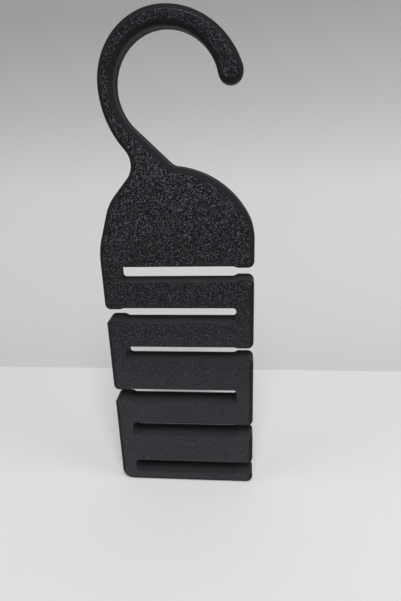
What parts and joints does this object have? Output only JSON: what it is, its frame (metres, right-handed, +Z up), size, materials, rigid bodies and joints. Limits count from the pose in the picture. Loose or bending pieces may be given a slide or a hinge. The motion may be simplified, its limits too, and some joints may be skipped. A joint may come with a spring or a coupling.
{
  "type": "tie hanger",
  "caption": "Flat printed tie hanger: an open hook, a leaning neck, a D-shaped shoulder plate and a ladder of tie bars parted by slots with lipped mouths.",
  "frame": {"origin": "on the axis of the rod that the hook hangs on, halfway through the plate", "axes": "+Z up, +X to the right in the front view, front face towards -Y"},
  "size_m": [0.075, 0.011, 0.2381],
  "materials": {
    "print": "black printed plastic, grain of a textured print bed on the front face, fine print layers on the walls"
  },
  "bodies": {
    "root": {"hook": "print", "neck": "print", "shoulder_plate": "print", "end_link_1": "print", "upper_jaw_1": "print", "lower_jaw_1": "print", "tie_bar_1": "print", "end_link_2": "print", "upper_jaw_2": "print", "lower_jaw_2": "print", "tie_bar_2": "print", "end_link_3": "print", "upper_jaw_3": "print", "lower_jaw_3": "print", "tie_bar_3": "print", "end_link_4": "print", "upper_jaw_4": "print", "lower_jaw_4": "print", "tie_bar_4": "print", "end_link_5": "print", "upper_jaw_5": "print", "lower_jaw_5": "print", "tie_bar_5": "print", "end_link_6": "print", "upper_jaw_6": "print", "lower_jaw_6": "print", "bottom_bar": "print"}
  },
  "joints": []
}
